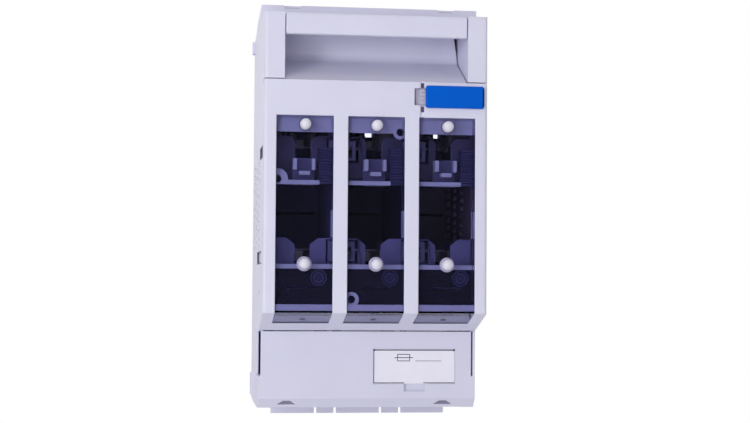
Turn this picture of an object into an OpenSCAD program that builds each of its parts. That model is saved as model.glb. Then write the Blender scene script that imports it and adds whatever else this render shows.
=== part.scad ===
/* [Overall] */
// Thickness of the outer moulded walls
wall = 2.2; // [1.8:0.1:2.4]
// Thickness of the back wall
back_t = 3; // [2.5:0.1:3.5]
// Room between an outer pole and the side wall
side_room = 0.25; // [0.1:0.05:0.5]
// Depth of the terminal covers' front face from the back plane
cover_depth = 59.4; // [58.5:0.1:60]
// How far the lid's face stands before its seam with the base
lid_rise = 18; // [16:0.5:19]
// Height of the upper rim over the side pillars
rim_over = 7.6; // [6.5:0.2:9]
// Distance of the lower rim from the lower cable terminals
rim_below = 21.6; // [20:0.2:23]
// Running gap between the lid and the fixed mouldings
lid_gap = 0.4; // [0.3:0.05:0.5]
// Gap between pieces that are snapped or slid together
seat_gap = 0.2; // [0.1:0.05:0.25]

/* [Poles] */
// Distance between neighbouring poles
pitch = 33.7; // [33:0.1:36]
// Distance of the upper contact jaws above the middle
upper_jaw = 36.7; // [36:0.1:38]
// Distance of the lower contact jaws below the middle
lower_jaw = 28.4; // [27.5:0.1:29]
// Distance of the upper cable terminals from the lid's top edge
terminal_above = 15.1; // [14.5:0.1:17]
// Distance of the lower cable terminals from the lid's foot
terminal_below = 15.8; // [15:0.1:18]

/* [Lid] */
// Height of the lid's face over the windows
lid_brow = 16.9; // [16:0.1:18]
// Distance of the bend in the lid's face from the lower jaws
knee_drop = 23; // [22.8:0.1:24]
// Height of the bent face
foot_h = 8.8; // [8.4:0.1:9.4]
// Radius of the lid's two upright front edges
lid_edge_r = 1.6; // [0.8:0.1:2]
// Distance of the hinge axis from the plane of the cover's face
hinge_out = 6.6; // [6.2:0.1:7]
// Height of the hinge axis above the lid's foot
hinge_up = 8.2; // [8:0.1:8.6]
// Radius of the moulded hinge trunnions
trunnion_r = 1.8; // [1.6:0.05:2]
// Running clearance round a trunnion
trunnion_gap = 0.06; // [0.03:0.01:0.09]
// Thickness of a hinge lug
lug_t = 2.8; // [2.4:0.1:2.9]
// Distance of the seam between lid and base from the hinge axis
seam_out = 4; // [3.6:0.1:5]
// Distance of the upper ledge from the upper jaws
ledge_drop = 25.9; // [25.5:0.1:27]
// Radius of the screw holes in the lid's inner frame
tube_hole = 1.8; // [1.4:0.1:2]

/* [Windows] */
// Width of the bars between the windows
window_bar = 6.8; // [6.3:0.1:7.6]
// Height of the windows' top edge over the upper jaws
window_head = 4.3; // [4:0.1:5]
// Distance of the windows' lower end from the lid's foot
window_sill = 3.8; // [3.4:0.1:4.4]
// Thickness of a pane
pane_t = 1.2; // [1:0.1:1.6]
// Depth of the rim round a pane
pane_h = 2.8; // [2.6:0.1:3.2]
// How far a pane lies back from the lid's face
pane_sink = 0.3; // [0.2:0.05:0.5]
// Width of the flange that holds a pane from behind
pane_flange = 1.4; // [1:0.1:1.6]
// Width of the rim inside the flange
pane_rim = 0.8; // [0.6:0.1:1.2]
// Radius of the lower test plugs' collars
plug_r = 3.4; // [3.1:0.1:3.8]
// Radius of the test plugs' domes
dome_r = 2.6; // [2.4:0.1:2.8]
// How far the domes stand out of the panes
dome_out = 5.4; // [4.5:0.2:6.5]
// Depth of the recess round an upper dome
plug_step = 0.6; // [0.4:0.1:0.8]

/* [Handle] */
// Height of the hood over the lid's face
hood_h = 31.5; // [30:0.1:33]
// Height of the grip bar's front face
bar_h = 10.2; // [9:0.2:11]
// Thickness of the grip bar's front wall
bar_t = 3; // [2.4:0.1:3.6]
// Distance of the finger scoop's back from the plane of the cover's face
scoop_out = 1.6; // [1.4:0.1:3]
// Height of the scoop's ramp where it meets the back
ramp_rise = 13.1; // [11:0.2:14]
// Radius at the foot of the scoop
scoop_r = 5; // [3:0.5:7]
// Width of the side pillars
pillar_w = 9.5; // [9:0.1:10]
// Gap between the hood and a pillar
hood_gap = 0.5; // [0.4:0.05:0.8]
// Height of the pillars over the grip bar
pillar_over = 0.6; // [0.4:0.1:1]

/* [Lock] */
// Width of the lock's coloured tab
tab_w = 28.2; // [26:0.2:29]
// Height of the tab
tab_h = 10.6; // [10:0.1:11]
// Thickness of the tab
tab_t = 1.5; // [1.2:0.1:2]
// Distance of the tab's middle from the lid's right edge
tab_inset = 15.9; // [15.5:0.1:16.5]
// Distance of the tab's middle from the lid's top edge
tab_drop = 7; // [6.6:0.1:7.4]
// Height of the slider's slot
slot_h = 8; // [7:0.2:8.6]
// Travel of the lock slider
lock_travel = 2.3; // [1.5:0.1:2.5]

/* [Terminal covers] */
// Depth over which a cover closes the terminals
cover_reach = 27.6; // [26:0.2:29]
// Height of the bevel along the lower rim
rim_bevel = 4.5; // [3.5:0.1:5]
// Width of the label recess
label_w = 40.4; // [38:0.2:42]
// Height of the label recess
label_h = 16.9; // [16:0.1:18]
// Distance of the label recess from the right side
label_side = 9.8; // [9:0.1:12]
// Height of the label recess over the lower rim
label_up = 11.6; // [11:0.1:13]
// Thickness of the label card
label_t = 0.5; // [0.3:0.1:0.6]
// How far the card lies below the cover's face
label_sink = 0.9; // [0.3:0.1:1]
// Width of a cable entry
entry_w = 24; // [20:0.5:25]
// Depth of a cable entry
entry_d = 25; // [20:0.5:26]
// How far the comb's fingers stand out below the lower rim
comb_out = 5.6; // [4:0.2:7]
// Width of the slot at the right of the lower cover
side_slot = 0.9; // [0.6:0.1:1.2]
// Width of the gap at the left of the lower cover
left_gap = 1.3; // [0.9:0.1:1.6]
// Length of the slots beside the lower cover
side_slot_l = 21.7; // [20:0.1:23]
// How far the left side wall stands back along its slot
side_step = 17.4; // [15:0.2:20]

/* [Contacts] */
// Room between a contact bar and the shroud's side walls
bar_room = 1.8; // [1.4:0.1:2.4]
// Thickness of a contact bar
copper_t = 3; // [2.5:0.1:3]
// Distance of the contact bars' front face from the back plane
bar_face = 33; // [32:0.2:34]
// Thickness of a jaw leg
leg_t = 1.5; // [1.2:0.1:1.6]
// Gap between the two legs of an empty jaw
jaw_gap = 3.7; // [3.4:0.1:4]
// Height of the jaws over the contact bar
jaw_h = 33; // [31:0.5:34]
// Length of a jaw along the fuse
jaw_l = 14; // [13:0.2:14.6]
// Width of the slot between the fingers of a jaw
finger_slot = 4.5; // [4:0.1:5]
// Thickness of the jaw springs
spring_t = 0.8; // [0.6:0.05:0.9]
// Radius of the terminal screws
terminal_r = 4; // [3.5:0.1:4]
// Radius of the contact screws
contact_r = 2.5; // [2:0.1:2.5]

/* [Shrouds and trays] */
// Wall thickness of the dark inner mouldings
inner_t = 1.8; // [1.6:0.1:2]
// Distance of the contact shrouds' front from the lid's face
shroud_back = 11.5; // [11:0.1:12]
// Length of the upper shrouds' plates
shroud_l = 36; // [34:0.5:36]
// Width of the blade slots in the shrouds
blade_slot = 7.2; // [6.8:0.1:7.6]
// Height of a side vent
vent_h = 2.3; // [1.8:0.1:2.6]
// Length of a side vent
vent_l = 8; // [6:0.5:9]
// Distance between neighbouring vents of a column
vent_pitch = 4.05; // [3.8:0.05:4.3]
// Vents in a column
vent_count = 11; // [9:1:11]

/* [Fixing] */
// Distance between the fixing holes along the part
fix_z = 150; // [149:0.5:152]
// Radius of a fixing hole
fix_r = 2.75; // [2.5:0.05:3]
// Radius of the recess for a fixing screw's head
fix_head_r = 5; // [4.6:0.1:5.2]

/* [Hidden] */
SIDES = ["left", "middle", "right"];
ROWS = ["upper", "lower"];
EACH_POLE = ["pole_tray", "window", "fuse_grip", "grip_plate", "arc_chute", "lower_panel"];
EACH_CONTACT = ["shroud", "contact", "jaw_spring", "terminal_clamp", "test_plug"];

$fn = 48;
eps = 0.01;
half_w = 1.5 * pitch + wall + side_room;
pole_x = [-pitch, 0, pitch];
fix_x = pitch;
window_top = upper_jaw + window_head;
lid_top = window_top + lid_brow;
handle_top = lid_top + hood_h;
pillar_top = handle_top + pillar_over;
top_rim = pillar_top + rim_over;
lid_knee = lower_jaw + knee_drop;
lid_foot = lid_knee + foot_h;
window_foot = lid_foot - window_sill;
hinge_y = cover_depth + hinge_out;
hinge_z = lid_foot - hinge_up;
seam_y = hinge_y + seam_out;
lid_depth = seam_y + lid_rise;
scoop_y = cover_depth + scoop_out;
upper_terminal = lid_top + terminal_above;
lower_terminal = lid_foot + terminal_below;
bottom_rim = lower_terminal + rim_below;
shroud_y = lid_depth - shroud_back;
housing_col = [0.82, 0.81, 0.89];
dark_col = [0.16, 0.16, 0.20];
lid_back = cover_depth + lid_gap;
lid_slope = (lid_foot - lid_knee) / (lid_depth - lid_back);
lid_tilt = atan(lid_slope);
disc_r = norm([hinge_y - lid_back, lid_foot - hinge_z]);
lug_r = trunnion_r + 1.5;
lug_x = half_w - wall - lid_gap - lug_t;
pane_back = lid_depth - pane_sink - pane_h;
carrier_y = pane_back - seat_gap;
carrier_t = 2;
window_x = (pitch - window_bar) / 2;
ramp_tilt = atan(ramp_rise / (lid_depth - scoop_y));
hood_back = scoop_y - wall;
hood_clear = 1.3;
recess_y = hood_back - hood_clear;
pillar_x = half_w - pillar_w;
handle_w = 2 * (pillar_x - hood_gap);
cover_split = cover_depth - cover_reach;
cover_inner = cover_depth - wall;
top_kink = 14.4;
top_drop = [0, 2.9, 7.2, 10.6];
bar_back = bar_face - copper_t;
tray_x = pitch / 2 - 1.25;
tray_front = shroud_y - 2.5;
tray_low = hinge_z - disc_r - 0.7;
tray_high = lid_top - 7.9;
tray_step = cover_depth - 5.4;
shroud_x = tray_x - inner_t - seat_gap;
bar_w = 2 * (shroud_x - inner_t - bar_room);
boss_r = fix_head_r + 1.2;
fix_seat = 6;

// Turns a drawing of depth and height into a slab across the width
module across(x0, x1) translate([x0, 0, 0]) rotate([90, 0, 90]) linear_extrude(x1 - x0) children();

// Turns a front view into a slab between two distances from the back plane
module facing(front, back) translate([0, -back, 0]) rotate([90, 0, 0]) linear_extrude(front - back) children();

// A block between two opposite corners
module block(a, b) translate([min(a[0], b[0]), min(a[1], b[1]), min(a[2], b[2])])
  cube([abs(b[0] - a[0]), abs(b[1] - a[1]), abs(b[2] - a[2])]);

// A rectangle between two opposite corners
module rect(a, b) translate([min(a[0], b[0]), min(a[1], b[1])])
  square([abs(b[0] - a[0]), abs(b[1] - a[1])]);

module both_sides() {
  children();
  mirror([1, 0, 0]) children();
}

// Children are drawn with the ends of the part upwards, and turned down for the lower row
module row(r) mirror([0, 0, r == 0 ? 0 : 1]) children();

function jaw_z(r) = r == 0 ? upper_jaw : lower_jaw;
function terminal_z(r) = r == 0 ? upper_terminal : lower_terminal;

// The outline of a bent strip of constant thickness along a path
function side_of(path, d) = [for (i = [0:len(path) - 1])
  let (a = path[max(i - 1, 0)], b = path[i], c = path[min(i + 1, len(path) - 1)],
       u = (b - a) / max(norm(b - a), eps) + (c - b) / max(norm(c - b), eps),
       n = [-u[1], u[0]] / norm(u),
       k = i == 0 || i == len(path) - 1 ? 1 : 2 / norm(u))
  b + n * d * k];
module strip(path, t) {
  back = side_of(path, -t / 2);
  polygon(concat(side_of(path, t / 2), [for (i = [len(back) - 1:-1:0]) back[i]]));
}

// Points on the lid's bent front, d inside its outer surface
function face_knee(d) = [-lid_depth + d, -lid_knee + d / cos(lid_tilt) - d * lid_slope];
function face_at(d, z) = [-lid_depth + (z - lid_knee + d / cos(lid_tilt)) / lid_slope, -z];
module bent_band(d0, d1, z_top, z_foot)
  polygon([[-lid_depth + d0, z_top], face_knee(d0), face_at(d0, z_foot),
           face_at(d1, z_foot), face_knee(d1), [-lid_depth + d1, z_top]]);

module lid_profile()
  polygon([[-lid_back, lid_top], [-lid_depth, lid_top], [-lid_depth, -lid_knee], [-lid_back, -lid_foot]]);

// Plan of the lid with its two rounded front edges
module lid_plan() {
  rect([-half_w, -lid_depth + lid_edge_r], [half_w, 0]);
  rect([-half_w + lid_edge_r, -lid_depth], [half_w - lid_edge_r, 0]);
  both_sides() translate([half_w - lid_edge_r, -lid_depth + lid_edge_r]) circle(lid_edge_r);
}

module lid_box() {
  intersection() {
    union() {
      across(-half_w, half_w) {
        intersection() {
          bent_band(0, wall, lid_top, lid_foot);
          lid_profile();
        }
        rect([-lid_depth, lid_top - wall], [-seam_y, lid_top]);
      }
      across(-half_w + wall + lid_gap, half_w - wall - lid_gap)
        rect([-seam_y - eps, lid_top - wall], [-lid_back, lid_top]);
      both_sides() across(half_w - wall, half_w) lid_side();
    }
    translate([0, 0, -2 * bottom_rim]) linear_extrude(4 * bottom_rim) lid_plan();
  }
}

// Side wall of the lid: it ends at the seam, and below in a disc round the hinge axis
module lid_side() {
  intersection() {
    lid_profile();
    rect([-lid_depth, -lid_foot], [-seam_y, lid_top]);
  }
  difference() {
    translate([-hinge_y, -hinge_z]) circle(disc_r, $fn = 96);
    polygon([face_at(0, lid_knee), face_at(0, lid_foot), [0, -lid_foot], [0, -2 * lid_foot], [-lid_depth, -2 * lid_foot]]);
    rect([-lid_depth, -lid_foot], [-seam_y, lid_top]);
  }
}

// Section of the hood: grip bar, roof and scoop
module hood_section() {
  drop = wall / cos(ramp_tilt);
  ramp_back = lid_top + tan(ramp_tilt) * (lid_depth - hood_back);
  difference() {
    polygon([[-lid_depth, lid_top - drop], [-hood_back, ramp_back - drop],
             [-hood_back, handle_top], [-lid_depth, handle_top]]);
    scoop_section();
    translate([-lid_depth, handle_top]) round_off(1.5, 1, -1);
    translate([-lid_depth, handle_top - bar_h]) round_off(1, 1, 1);
  }
}

module round_off(r, sy, sz) difference() {
  translate([sy > 0 ? -eps : -r, sz > 0 ? -eps : -r]) square(r + eps);
  translate([sy * r, sz * r]) circle(r);
}

module scoop_section() {
  foot_z = lid_top + ramp_rise;
  t = scoop_r * tan(45 - ramp_tilt / 2);
  rise_at = function (y) lid_top + tan(ramp_tilt) * (lid_depth - y);
  ramp_end = [-scoop_y - t * cos(ramp_tilt), foot_z - t * sin(ramp_tilt)];
  out = lid_depth + 1;
  polygon([[-out, rise_at(out)], ramp_end, [-scoop_y, foot_z + t], [-scoop_y, handle_top - wall],
           [-lid_depth + bar_t, handle_top - wall], [-lid_depth + bar_t, handle_top - bar_h],
           [-out, handle_top - bar_h]]);
  translate([-scoop_y - scoop_r, foot_z + t]) circle(scoop_r);
}

module window_opening(x) block([x - window_x, -lid_depth - 1, -window_foot], [x + window_x, -lid_back, window_top]);

tab_x = half_w - tab_inset;
tab_z = lid_top - tab_drop;
slot_left = tab_x - tab_w / 2 - 5;
slot_right = tab_x + tab_w / 2 - 6;

module lid_shell() color(housing_col) {
  difference() {
    union() {
      lid_box();
      across(-handle_w / 2, handle_w / 2) hood_section();
      both_sides() across(half_w - wall - lid_gap - lug_t + seat_gap, half_w - wall + eps)
        translate([-hinge_y, -hinge_z]) circle(trunnion_r);
    }
    for (x = pole_x) window_opening(x);
    block([slot_left, -lid_depth - 1, tab_z - slot_h / 2], [slot_right, -lid_depth + wall + 1, tab_z + slot_h / 2]);
    block([slot_left + 2.8, -lid_depth - 1, window_top], [slot_left + 4.6, -lid_depth + 0.8, lid_top + 1]);
    both_sides() facing(scoop_y + eps, hood_back - eps)
      polygon([[handle_w / 2 - 1.5, handle_top - wall - 3], [handle_w / 2 + 1, handle_top - wall - 3],
               [handle_w / 2 + 1, lid_top + ramp_rise + 3], [handle_w / 2, lid_top + ramp_rise + 3]]);
    side_pockets();
  }
}

// Pockets across the seam in the left side: reach before and behind it, foot, head and depth
pockets = [[10.5, 13, upper_jaw - 15.2, upper_jaw - 9.2, 1.7], [5, 29, -lower_jaw - 0.1, -lower_jaw + 6.1, 1]];
module side_pockets() for (p = pockets)
  block([-half_w - 1, -seam_y - p[0], p[2]], [-half_w + p[4], -seam_y + p[1], p[3]]);

module window(i) color([0.25, 0.24, 0.42, 0.6]) {
  x = pole_x[i];
  half = window_x - seat_gap / 2;
  high = window_top - seat_gap / 2;
  front = lid_depth - pane_sink;
  difference() {
    union() {
      across(x - half, x + half) bent_band(pane_sink, pane_sink + pane_t, high, window_foot - seat_gap / 2);
      difference() {
        union() {
          facing(front, pane_back) rect([x - half, -rail_top + seat_gap], [x + half, high]);
          facing(lid_depth - wall - seat_gap / 2, pane_back)
            rect([x - half - pane_flange, -rail_top + seat_gap], [x + half + pane_flange, high + pane_flange]);
        }
        facing(front - pane_t, 0) rect([x - half + pane_rim, -rail_top], [x + half - pane_rim, high - pane_rim]);
      }
    }
    for (r = [0, 1]) row(r) translate([x, 0, jaw_z(r)]) rotate([90, 0, 0])
      cylinder(r = shank_r + seat_gap / 2, h = lid_depth + 1);
    translate([x, 0, jaw_z(0)]) rotate([90, 0, 0]) translate([0, 0, front - plug_step])
      cylinder(r = dome_r + 0.5, h = lid_depth);
  }
}
shank_r = dome_r - 0.5;

// A pale plug whose dome stands out of the pane over a contact; the lower ones have a collar
module test_plug(r, i) color([0.93, 0.92, 0.96]) {
  tip = lid_depth - pane_sink + dome_out;
  seat = lid_depth - pane_sink - (r == 0 ? plug_step : 0);
  row(r) translate([pole_x[i], 0, jaw_z(r)]) rotate([90, 0, 0]) rotate_extrude() {
    rect([0, pane_back + seat_gap], [shank_r, seat + eps]);
    if (r == 1) rect([0, seat], [plug_r, seat + 0.7]);
    rect([0, seat], [dome_r, tip - dome_r]);
    intersection() {
      translate([0, tip - dome_r]) circle(dome_r);
      rect([0, seat], [dome_r, tip]);
    }
  }
}

ledge_low = upper_jaw - ledge_drop;
ledge_h = 2;
chute_x = 7.1;
chute_low = ledge_low - 1.7;
chute_high = upper_jaw - 10.2;
panel_top = lower_jaw + 2.6;
panel_foot = lid_knee - 4.4;
rail_top = lid_knee - 4.1;
bay_x = window_x + 0.7;
rail_in = wall + seat_gap;
rail_t = 1.6;
pad_in = pane_sink + pane_t + seat_gap;
pad_foot = lid_knee - 1;
pad_gap = 1.5;
frame_w = half_w - wall - seat_gap;

// The inner frame of the lid: ledges, stiles, bottom rail and three screw tubes
module fuse_carrier() color(housing_col) {
  difference() {
    facing(carrier_y, carrier_y - carrier_t) {
      rect([-frame_w, window_top - 7.5], [frame_w, window_top + 3.4]);
      difference() {
        rect([-frame_w, ledge_low - ledge_h], [frame_w, ledge_low]);
        for (x = pole_x) rect([x + chute_x, 0], [x + bay_x, ledge_low + 1]);
      }
      rect([-frame_w, -panel_top + 0.4], [frame_w, -panel_top + 2.5]);
      for (s = [-1, 1]) {
        rect([s * bay_x, -rail_top - 2], [s * (pitch - bay_x), window_top]);
        rect([s * frame_w, -rail_top - 2], [s * (pitch + bay_x), window_top]);
      }
      for (x = pole_x) rect([x + window_x - 0.9, -15.8], [x + bay_x + 0.5, -3.1]);
      for (t = screw_tubes) intersection() {
        translate([t[0], t[1]]) circle(t[2]);
        rect([-frame_w, t[3]], [frame_w, window_top]);
      }
    }
    for (t = screw_tubes) translate([t[0], 0, t[1]]) rotate([90, 0, 0])
      cylinder(r = tube_hole, h = lid_depth);
  }
  bottom_rail();
}
// Place, radius and lower end of each screw tube's ring
screw_tubes = [[-pitch - window_x + 0.9, ledge_low + 0.5, 4.9, ledge_low - ledge_h],
               [window_x - 1.9, window_top - 6.9, 3.3, 0],
               [-window_x + 2.4, -rail_top + 2.4, 3.5, -lid_knee]];

// The rail follows the bend of the lid and has pads that fill the feet of the windows
module bottom_rail() {
  rail_w = lug_x - lid_gap;
  rail_back = -lid_depth + rail_in + rail_t;
  across(-frame_w, frame_w) rect([-lid_depth + rail_in, face_knee(rail_in)[1]], [rail_back, -rail_top]);
  difference() {
    union() {
      across(-rail_w, rail_w) bent_band(rail_in, rail_in + rail_t, -rail_top, window_foot + 0.4);
      for (x = pole_x) across(x - window_x + seat_gap, x + window_x - seat_gap)
        bent_band(pad_in, rail_in + 0.1, -rail_top, window_foot - seat_gap);
    }
    for (x = pole_x) across(x - window_x, x + window_x) {
      rect([-lid_depth, -pad_foot - pad_gap], [-lid_back, -pad_foot]);
      rect([rail_back, -pad_foot - pad_gap], [-lid_back, 0]);
    }
  }
}

// Outlines of the three claws, measured from the ledge, and of the plate behind them
claws = [[-5.3, 4.9, -3.5, 10.2], [3.6, 4.9, 5.1, 10.2], [-2.4, 2.5, 2.6, 4.3]];
plate = [-5.2, 5, 10.2];
plate_y = carrier_y - 5.6;
module claw_outline(grow) translate([0, ledge_low]) for (c = claws)
  rect([c[0] - grow, c[1] - grow], [c[2] + grow, c[3] + grow]);

// Three claws that take the pulling lug of a fuse, on a bracket from the ledge
module fuse_grip(i) color(housing_col) translate([pole_x[i], 0, 0]) {
  facing(carrier_y, plate_y - 1) claw_outline(0);
  facing(plate_y, plate_y - 1.2) rect([plate[0], ledge_low - ledge_h], [plate[1], ledge_low + plate[2]]);
  facing(carrier_y - carrier_t, plate_y - 1) rect([plate[0], ledge_low - ledge_h], [plate[1], ledge_low]);
}

// Dark plate that fills the space between the claws
module grip_plate(i) color(dark_col) translate([pole_x[i], 0, 0]) facing(plate_y + 1, plate_y) difference() {
  rect([plate[0], ledge_low + seat_gap], [plate[1], ledge_low + plate[2] + 0.5]);
  claw_outline(seat_gap / 2);
}

// Louvred vent block beside the upper contact
module arc_chute(i) color([0.15, 0.14, 0.26]) translate([pole_x[i], 0, 0]) {
  rib = 1.34;
  right = bay_x - seat_gap / 2;
  facing(carrier_y - 0.9, carrier_y - 6) rect([chute_x, chute_low], [right, chute_high]);
  for (z = [chute_low:rib:chute_high - 0.8])
    facing(carrier_y, carrier_y - 1) rect([chute_x, z], [right, z + 0.8]);
}

// Dark panel between the two lower ledges, with a slot and a round stop
module lower_panel(i) color(dark_col) translate([pole_x[i], 0, 0]) {
  edge = bay_x - seat_gap / 2;
  slot_z = -panel_top - 8;
  difference() {
    facing(carrier_y - 0.3, carrier_y - carrier_t)
      rect([-edge, -panel_foot - 0.2], [edge, -panel_top + 0.3]);
    facing(lid_depth, carrier_y - carrier_t - 1) rect([-7.4, slot_z - 1.2], [7.4, slot_z]);
    for (t = screw_tubes) facing(lid_depth, 0) translate([t[0] - pole_x[i], t[1]]) {
      circle(t[2]);
      rect([-2 * t[2], -t[2]], [0, 0]);
    }
  }
  translate([7, 0, slot_z + 4.1]) rotate([90, 0, 0]) translate([0, 0, carrier_y - carrier_t]) difference() {
    cylinder(r = 3.3, h = carrier_t);
    translate([0, 0, 1]) cylinder(r = 2.5, h = carrier_t);
  }
}

module lock_slider() color([0.70, 0.69, 0.76]) {
  inner = lid_depth - wall - seat_gap;
  facing(inner, inner - 1.5)
    rect([slot_left + 0.6, tab_z - tab_h / 2 - 1], [slot_right + 3, lid_top - wall - seat_gap]);
  facing(lid_depth + seat_gap / 2, inner - eps)
    rect([tab_x - tab_w / 2 + 0.4, tab_z - slot_h / 2 + seat_gap],
         [slot_right - seat_gap, tab_z + slot_h / 2 - seat_gap]);
  facing(lid_depth - 1, inner - eps)
    rect([slot_left + lock_travel + seat_gap, tab_z - slot_h / 2 + seat_gap],
         [tab_x, tab_z + slot_h / 2 - seat_gap]);
  for (k = [0:3]) facing(lid_depth - 0.3, lid_depth - 1.2)
    rect([slot_left + lock_travel + seat_gap, tab_z - 3.3 + k * 1.9], [tab_x - tab_w / 2 + 0.5, tab_z - 2.4 + k * 1.9]);
}

module lock_tab() color([0.02, 0.36, 0.80]) {
  back = lid_depth + seat_gap / 2;
  cut = 0.8;
  translate([tab_x, 0, tab_z]) {
    facing(back + tab_t - 0.5, back) tab_outline(0, cut);
    facing(back + tab_t, back) tab_outline(0.5, cut);
  }
}
module tab_outline(inset, cut) {
  a = tab_w / 2 - inset;
  b = tab_h / 2 - inset;
  polygon([[-a + cut, -b], [a - cut, -b], [a, -b + cut], [a, b - cut],
           [a - cut, b], [-a + cut, b], [-a, b - cut], [-a, -b + cut]]);
}

// Height of the sloping top or bottom end at four distances from the back
function end_z(r, k) = r == 0 ? top_rim - top_drop[k] : bottom_rim - [0, 0, 0.4, 1.6][k];
function end_line(r) = [[-cover_depth, end_z(r, 0)], [-cover_split, end_z(r, 1)],
                        [-top_kink, end_z(r, 2)], [0, end_z(r, 3)]];

// Profile of one end of the base, behind the cover
module base_end_profile(r) polygon([[0, 0], [-cover_split, 0], end_line(r)[1], end_line(r)[2], end_line(r)[3]]);

entry_back = cover_split - 1.8;
module cable_entries(r) for (x = pole_x)
  row(r) block([x - entry_w / 2, -entry_back, end_z(r, 3) - wall - 8],
               [x + entry_w / 2, -entry_back - entry_d, end_z(r, 0) + 1]);

module vents(x0, x1, first) {
  for (c = [0:2], k = [0:vent_count - 1])
    let (z = (k - (vent_count - 1) / 2) * vent_pitch + (c % 2 == 0 ? 0 : vent_pitch / 2))
      if (z < vent_pitch * vent_count / 2 - 0.5) across(x0, x1) translate([-first - 18.2 * c, z]) {
        square([vent_l - vent_h, vent_h], center = true);
        for (s = [-1, 1]) translate([s * (vent_l - vent_h) / 2, 0]) circle(vent_h / 2, $fn = 24);
      }
}
vent_first = [16.8, 14.8];
// Sides of the narrow openings through the back behind the middle and the right pole
peeps = [[], [4.9, 8.7], [7.6, 10.2]];
module peep(i, grow, depth) if (len(peeps[i]) > 0)
  block([peeps[i][0] - grow, 1, upper_jaw + 2.6 - grow], [peeps[i][1] + grow, -depth, upper_jaw + 6.3 + grow]);

module base_housing() color(housing_col) {
  difference() {
    union() {
      block([-half_w, -back_t, -end_z(1, 3)], [half_w, 0, end_z(0, 3)]);
      both_sides() across(half_w - wall, half_w) {
        rect([-cover_depth, -lid_foot - lid_gap], [0, lid_top + lid_gap]);
        rect([-seam_y + lid_gap, -hinge_z], [0, lid_top + lid_gap]);
        base_end_profile(0);
        mirror([0, 1]) base_end_profile(1);
      }
      for (s = [-1, 1]) across(min(s * half_w, s * (half_w - wall / 2)), max(s * half_w, s * (half_w - wall / 2)))
        rect([-cover_depth + (s < 0 ? side_step : 0), -lid_foot - lid_gap - side_slot_l], [-eps, -lid_foot]);
      for (r = [0, 1]) row(r) across(-half_w, half_w) end_wall(r);
      both_sides() across(pitch / 2 - 1, pitch / 2 + 1)
        rect([-bar_face - 12, -comb_root + 3], [0, end_z(0, 3)]);
      both_sides() hinge_lug();
      for (s = [-1, 1], t = [-1, 1]) translate([s * fix_x / 2, 0, t * fix_z / 2]) rotate([90, 0, 0])
        cylinder(r = boss_r, h = bar_face);
      side_lugs();
    }
    for (s = [-1, 1], t = [-1, 1]) translate([s * fix_x / 2, 0, t * fix_z / 2]) rotate([90, 0, 0]) {
      translate([0, 0, -1]) cylinder(r = fix_r, h = fix_seat + 2);
      translate([0, 0, fix_seat]) cylinder(r = fix_head_r, h = cover_depth);
    }
    for (r = [0, 1]) cable_entries(r);
    both_sides() across(half_w - wall - eps, half_w + 1) translate([-hinge_y, -hinge_z])
      circle(disc_r + lid_gap, $fn = 96);
    vents(-half_w - 1, -half_w + wall + 1, vent_first[0]);
    vents(half_w - wall - 1, half_w + 1, vent_first[1]);
    for (i = [0:2]) translate([pole_x[i], 0, 0]) peep(i, 0, back_t + 1);
    block([-comb_w - seat_gap / 2, -comb_y - seat_gap / 2, -lid_foot - side_slot_l],
          [comb_w + seat_gap / 2, -comb_y + comb_t + seat_gap / 2, -2 * bottom_rim]);
    block([half_w - lug_out, 1, upper_lug[0] - lug_out], [half_w + 1, -9, upper_lug[1] + lug_out]);
    side_pockets();
  }
}
module end_wall(r) {
  e = end_line(r);
  polygon([e[1], e[2], e[3], e[3] - [0, wall], e[2] - [0, wall], e[1] - [0, wall]]);
}
module hinge_lug() {
  root_low = disc_r + lid_gap + 1 - hinge_z;
  across(lug_x, lug_x + lug_t) difference() {
    union() {
      translate([-hinge_y, -hinge_z]) circle(lug_r);
      rect([-hinge_y - lug_r, -hinge_z], [-hinge_y + lug_r, root_low + 6]);
    }
    translate([-hinge_y, -hinge_z]) circle(trunnion_r + trunnion_gap);
  }
  across(lug_x, half_w - wall + eps) rect([-hinge_y - lug_r, root_low], [-hinge_y + lug_r, root_low + 6]);
}
// Spacing lugs on the left side, which meet recesses of a neighbour
module side_lugs() {
  block([-half_w - lug_out, -8, upper_lug[0]], [-half_w, -1, upper_lug[1]]);
  block([-half_w - lug_out + 0.5, -8, -bottom_rim + 2.9], [-half_w, -1, -bottom_rim + 14.2]);
}
lug_out = 1.3;
upper_lug = [top_rim - 16.3, top_rim - 10.3];

module top_terminal_cover() color(housing_col) difference() {
  low = lid_top + lid_gap;
  roof = pillar_top + 0.6;
  e = end_line(0);
  union() {
    across(-half_w, half_w) {
      polygon([e[0], e[1] - [seat_gap, 0], e[1] - [seat_gap, wall], e[0] - [-wall, wall],
               [-cover_inner, roof], [-cover_depth, roof]]);
      rect([-recess_y, low], [-recess_y + wall, end_z(0, 0) - wall]);
      rect([-cover_depth, roof], [-recess_y + wall, roof + wall]);
    }
    both_sides() across(half_w - wall, half_w)
      polygon([[-cover_depth, low], [-cover_split - seat_gap, low], e[1] - [seat_gap, 0], e[0]]);
    both_sides() pillar(low);
  }
  both_sides() block([pillar_x + wall, -lid_depth + wall, low + wall],
                     [half_w - wall, -recess_y + wall + 1, pillar_top - wall]);
  cable_entries(0);
  for (s = [-1, 1]) facing(cover_depth + 1, cover_depth - 4) translate([s * (half_w - 15.1) - 0.2, 0])
    polygon([[-4.9, end_z(0, 0) + 1], [4.9, end_z(0, 0) + 1], [3.4, end_z(0, 0) - 1.4], [-3.4, end_z(0, 0) - 1.4]]);
}
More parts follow.
